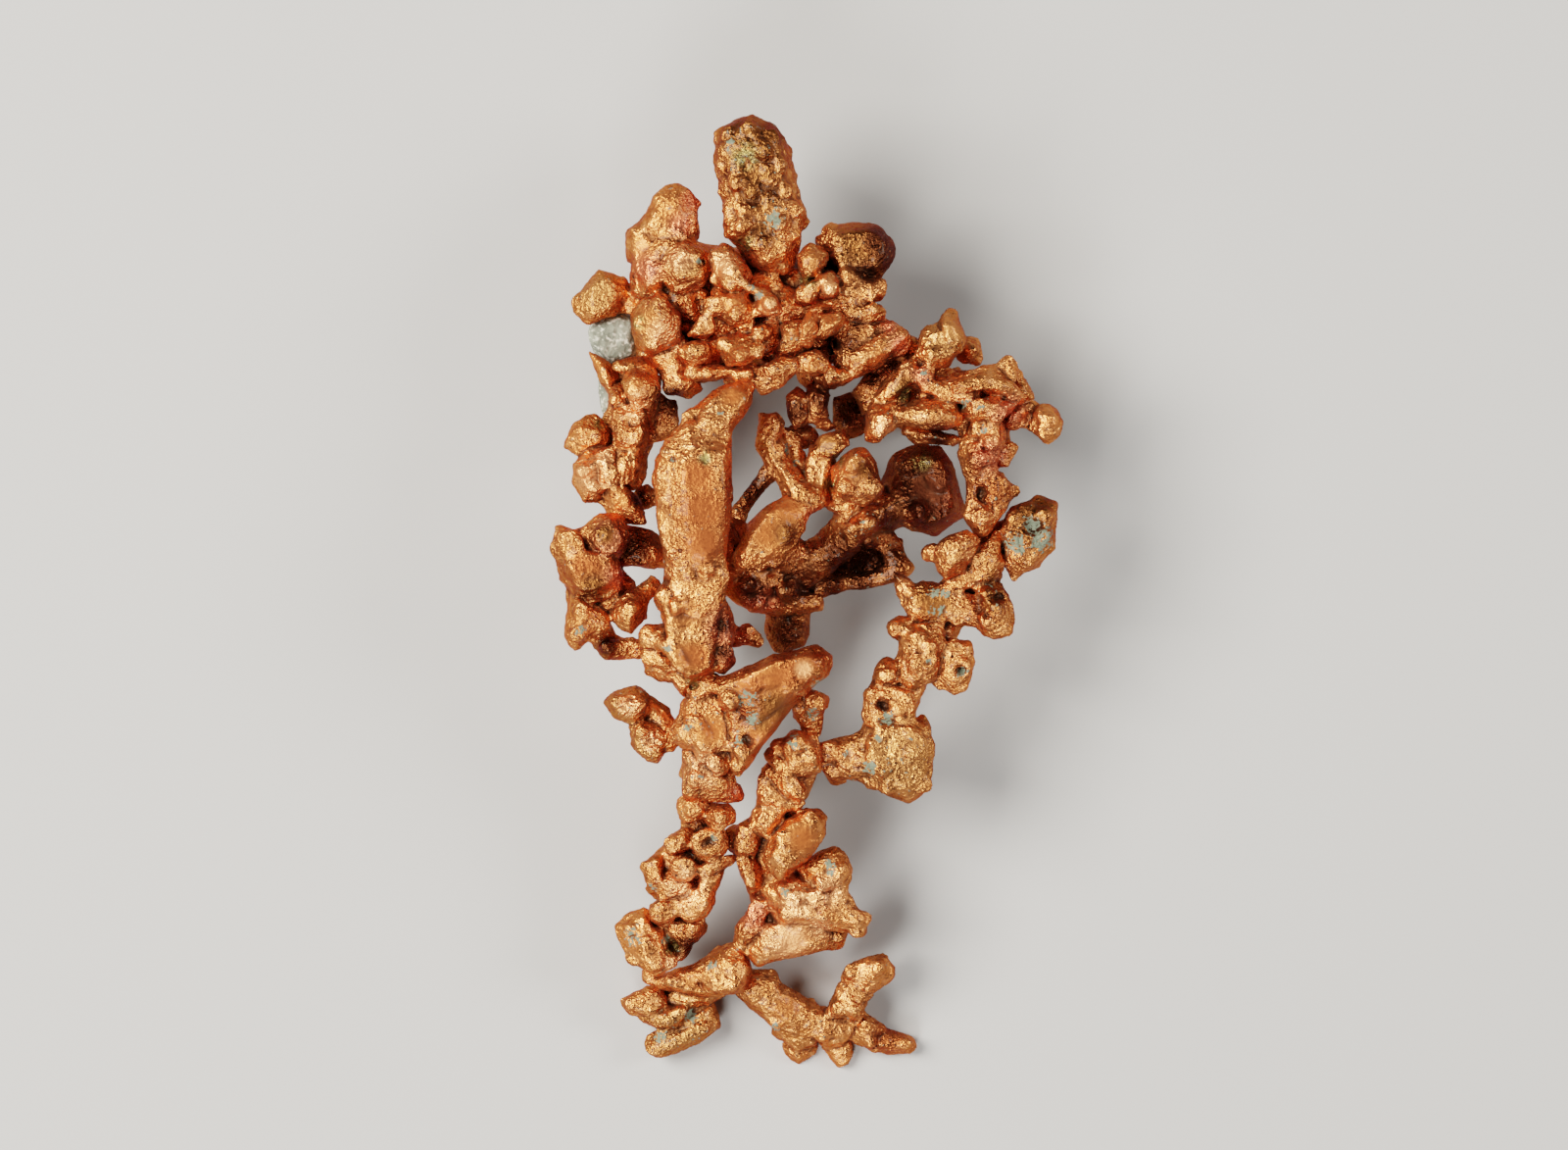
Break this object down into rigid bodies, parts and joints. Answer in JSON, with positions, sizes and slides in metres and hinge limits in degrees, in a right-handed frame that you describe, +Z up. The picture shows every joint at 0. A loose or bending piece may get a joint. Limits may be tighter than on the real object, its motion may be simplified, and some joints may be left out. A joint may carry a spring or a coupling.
{
  "type": "native copper specimen",
  "caption": "Branching growth of native copper crystals with a scrap of host rock, lying on its back: a crowded head, a long blade, a curved arm and splayed legs.",
  "frame": {"origin": "centre of the object's footprint, on the surface that it lies on", "axes": "+Y along the growth from the feet to the thumb at its head, +X across it, +Z up, out of the front that faces the viewer"},
  "size_m": [0.0208, 0.0392, 0.0102],
  "materials": {
    "native_copper": "natural crystal faces, crumpled and pitted, golden brown to pink, with olive and pale blue-green crusts in the hollows",
    "host_rock": "granular grey-green stone with white grains"
  },
  "bodies": {
    "root": {"crown": "native_copper", "central_blade": "native_copper", "left_flank": "native_copper", "left_cluster": "native_copper", "inner_fork": "native_copper", "right_arm": "native_copper", "right_chain": "native_copper", "trunk": "native_copper", "left_spur": "native_copper", "right_leg": "native_copper", "left_leg": "native_copper", "left_foot": "native_copper", "right_foot": "native_copper", "matrix_stone": "host_rock"}
  },
  "joints": []
}
